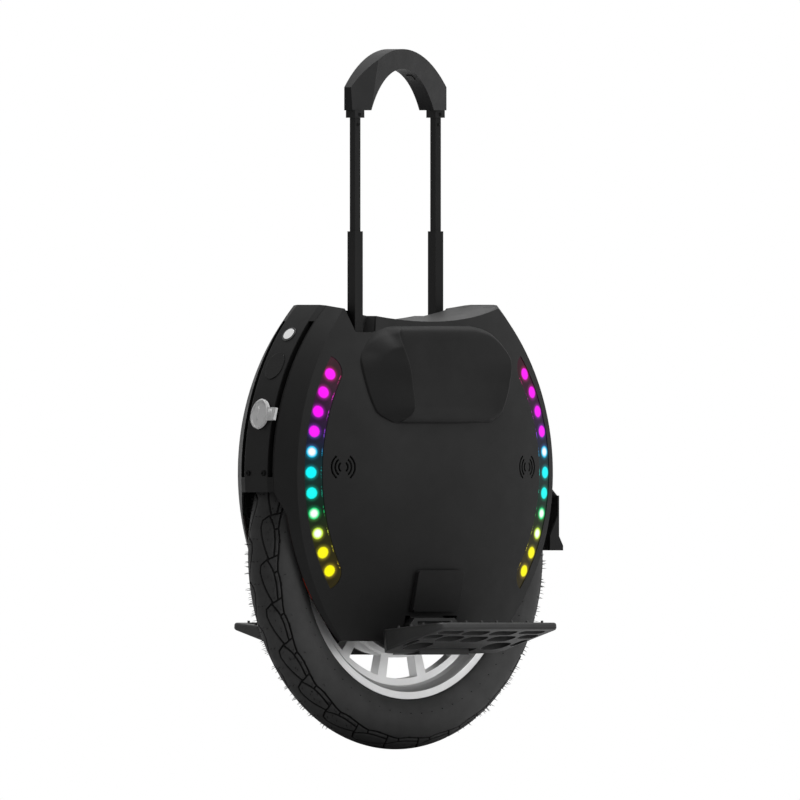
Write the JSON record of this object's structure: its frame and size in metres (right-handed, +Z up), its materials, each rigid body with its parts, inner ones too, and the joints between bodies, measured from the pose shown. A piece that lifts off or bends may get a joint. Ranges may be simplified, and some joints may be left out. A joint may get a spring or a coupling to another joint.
{
  "type": "electric unicycle",
  "caption": "Upright electric unicycle: one hub-motor wheel in a rounded black shell with fold-down pedals, knee pads, side lights and a telescopic trolley handle.",
  "frame": {"origin": "point where the tyre meets the ground, straight under the axle", "axes": "+X forward, towards the power button; +Y to the rider's left along the axle; +Z up"},
  "size_m": [0.5086, 0.3764, 0.88],
  "materials": {
    "tyre_rubber": "moulded matt",
    "tube_rubber": "smooth",
    "valve_metal": "machined",
    "rim_silver": "satin cast",
    "magnet_nickel": "plated",
    "motor_cover_metal": "satin",
    "screw_steel": "blackened",
    "plain_steel": "ground",
    "stator_steel": "laminated",
    "carrier_metal": "cast",
    "winding_copper": "enamelled",
    "hanger_metal": "satin",
    "pedal_metal": "fine texture",
    "grip_sheet_grit": "gritty",
    "stud_steel": "bright",
    "case_plastic": "matt",
    "seal_red": "matt",
    "panel_plastic": "fine texture",
    "cover_plastic": "fine texture",
    "deck_plastic": "satin",
    "pad_foam": "soft matt",
    "hanger_cover_plastic": "fine texture",
    "lens_smoke": "smoked gloss",
    "board_black": "matt",
    "led_colour": "lit",
    "speaker_black": "matt",
    "battery_wrap": "shrink wrap",
    "board_green": "coated",
    "sink_metal": "extruded",
    "lamp_lens": "smoked gloss",
    "lamp_module": "cast",
    "tail_lens": "dark red gloss",
    "socket_plastic": "satin",
    "housing_metal": "turned",
    "button_plastic": "satin",
    "cap_rubber": "matt",
    "button_silver": "satin turned",
    "guard_plastic": "fine texture",
    "guide_metal": "extruded",
    "trolley_metal": "satin black",
    "trolley_plastic": "fine texture"
  },
  "bodies": {
    "chassis": {"axle": "plain_steel", "stator_carrier": "carrier_metal", "stator_core": "stator_steel", "stator_windings": "winding_copper", "bearing_inner_rings": "plain_steel", "axle_nuts": "plain_steel", "left_pedal_hanger": "hanger_metal", "right_pedal_hanger": "hanger_metal", "pedal_pins": "plain_steel", "inner_cases": "case_plastic", "panel_seals": "seal_red", "front_cover": "cover_plastic", "rear_cover": "cover_plastic", "cover_screws": "screw_steel", "top_deck": "deck_plastic", "left_side_panel": "panel_plastic", "right_side_panel": "panel_plastic", "left_knee_pad": "pad_foam", "right_knee_pad": "pad_foam", "hanger_covers": "hanger_cover_plastic", "left_front_lens": "lens_smoke", "left_rear_lens": "lens_smoke", "right_front_lens": "lens_smoke", "right_rear_lens": "lens_smoke", "led_boards": "board_black", "led_chips": "led_colour", "speakers": "speaker_black", "left_battery_pack": "battery_wrap", "right_battery_pack": "battery_wrap", "control_board": "board_green", "heat_sink": "sink_metal", "headlight_lens": "lamp_lens", "headlight_module": "lamp_module", "tail_light_lens": "tail_lens", "charge_socket": "socket_plastic", "button_housing": "housing_metal", "mudguard": "guard_plastic", "mudguard_screws": "screw_steel", "trolley_guides": "guide_metal"},
    "wheel": {"tyre": "tyre_rubber", "inner_tube": "tube_rubber", "valve_stem": "valve_metal", "wheel_rim": "rim_silver", "magnet_ring": "magnet_nickel", "motor_covers": "motor_cover_metal", "motor_cover_screws": "screw_steel", "bearing_outer_rings": "plain_steel"},
    "left_pedal_body": {"left_pedal": "pedal_metal", "left_grip_sheet": "grip_sheet_grit", "left_pedal_studs": "stud_steel"},
    "right_pedal_body": {"right_pedal": "pedal_metal", "right_grip_sheet": "grip_sheet_grit", "right_pedal_studs": "stud_steel"},
    "trolley_middle": {"trolley_middle_tubes": "trolley_metal"},
    "trolley_top": {"trolley_inner_tubes": "trolley_metal", "trolley_collars": "trolley_plastic", "trolley_grip": "trolley_plastic"},
    "grip_release": {"grip_button": "button_plastic"},
    "power_switch": {"power_button": "button_silver"},
    "charge_cap": {"port_cap": "cap_rubber"}
  },
  "joints": [
    {"name": "wheel_spin", "type": "hinge", "parent": "chassis", "child": "wheel", "pos_m": [0, 0, 0.245], "axis": [0, 1, 0], "continuous": true},
    {"name": "left_pedal_fold", "type": "hinge", "parent": "chassis", "child": "left_pedal_body", "pos_m": [0, 0.078, 0.14], "axis": [1, 0, 0], "range_deg": [0, 64]},
    {"name": "right_pedal_fold", "type": "hinge", "parent": "chassis", "child": "right_pedal_body", "pos_m": [0, -0.078, 0.14], "axis": [-1, 0, 0], "range_deg": [0, 64]},
    {"name": "trolley_middle_slide", "type": "slide", "parent": "chassis", "child": "trolley_middle", "axis": [0, 0, 1], "range_m": [-0.1, 0]},
    {"name": "trolley_top_slide", "type": "slide", "parent": "trolley_middle", "child": "trolley_top", "axis": [0, 0, 1], "range_m": [-0.14, 0]},
    {"name": "grip_release_press", "type": "slide", "parent": "trolley_top", "child": "grip_release", "axis": [-0.3795, -0.1562, 0.9119], "range_m": [0, 0.0016], "stiffness_N_per_m": 400},
    {"name": "power_button_press", "type": "slide", "parent": "chassis", "child": "power_switch", "axis": [-0.7987, 0, -0.6017], "range_m": [0, 0.002], "stiffness_N_per_m": 400},
    {"name": "charge_cap_hinge", "type": "hinge", "parent": "chassis", "child": "charge_cap", "pos_m": [0.23712, 0.0265, 0.42161], "axis": [-0.2552, 0, 0.9669], "range_deg": [0, 100]}
  ]
}
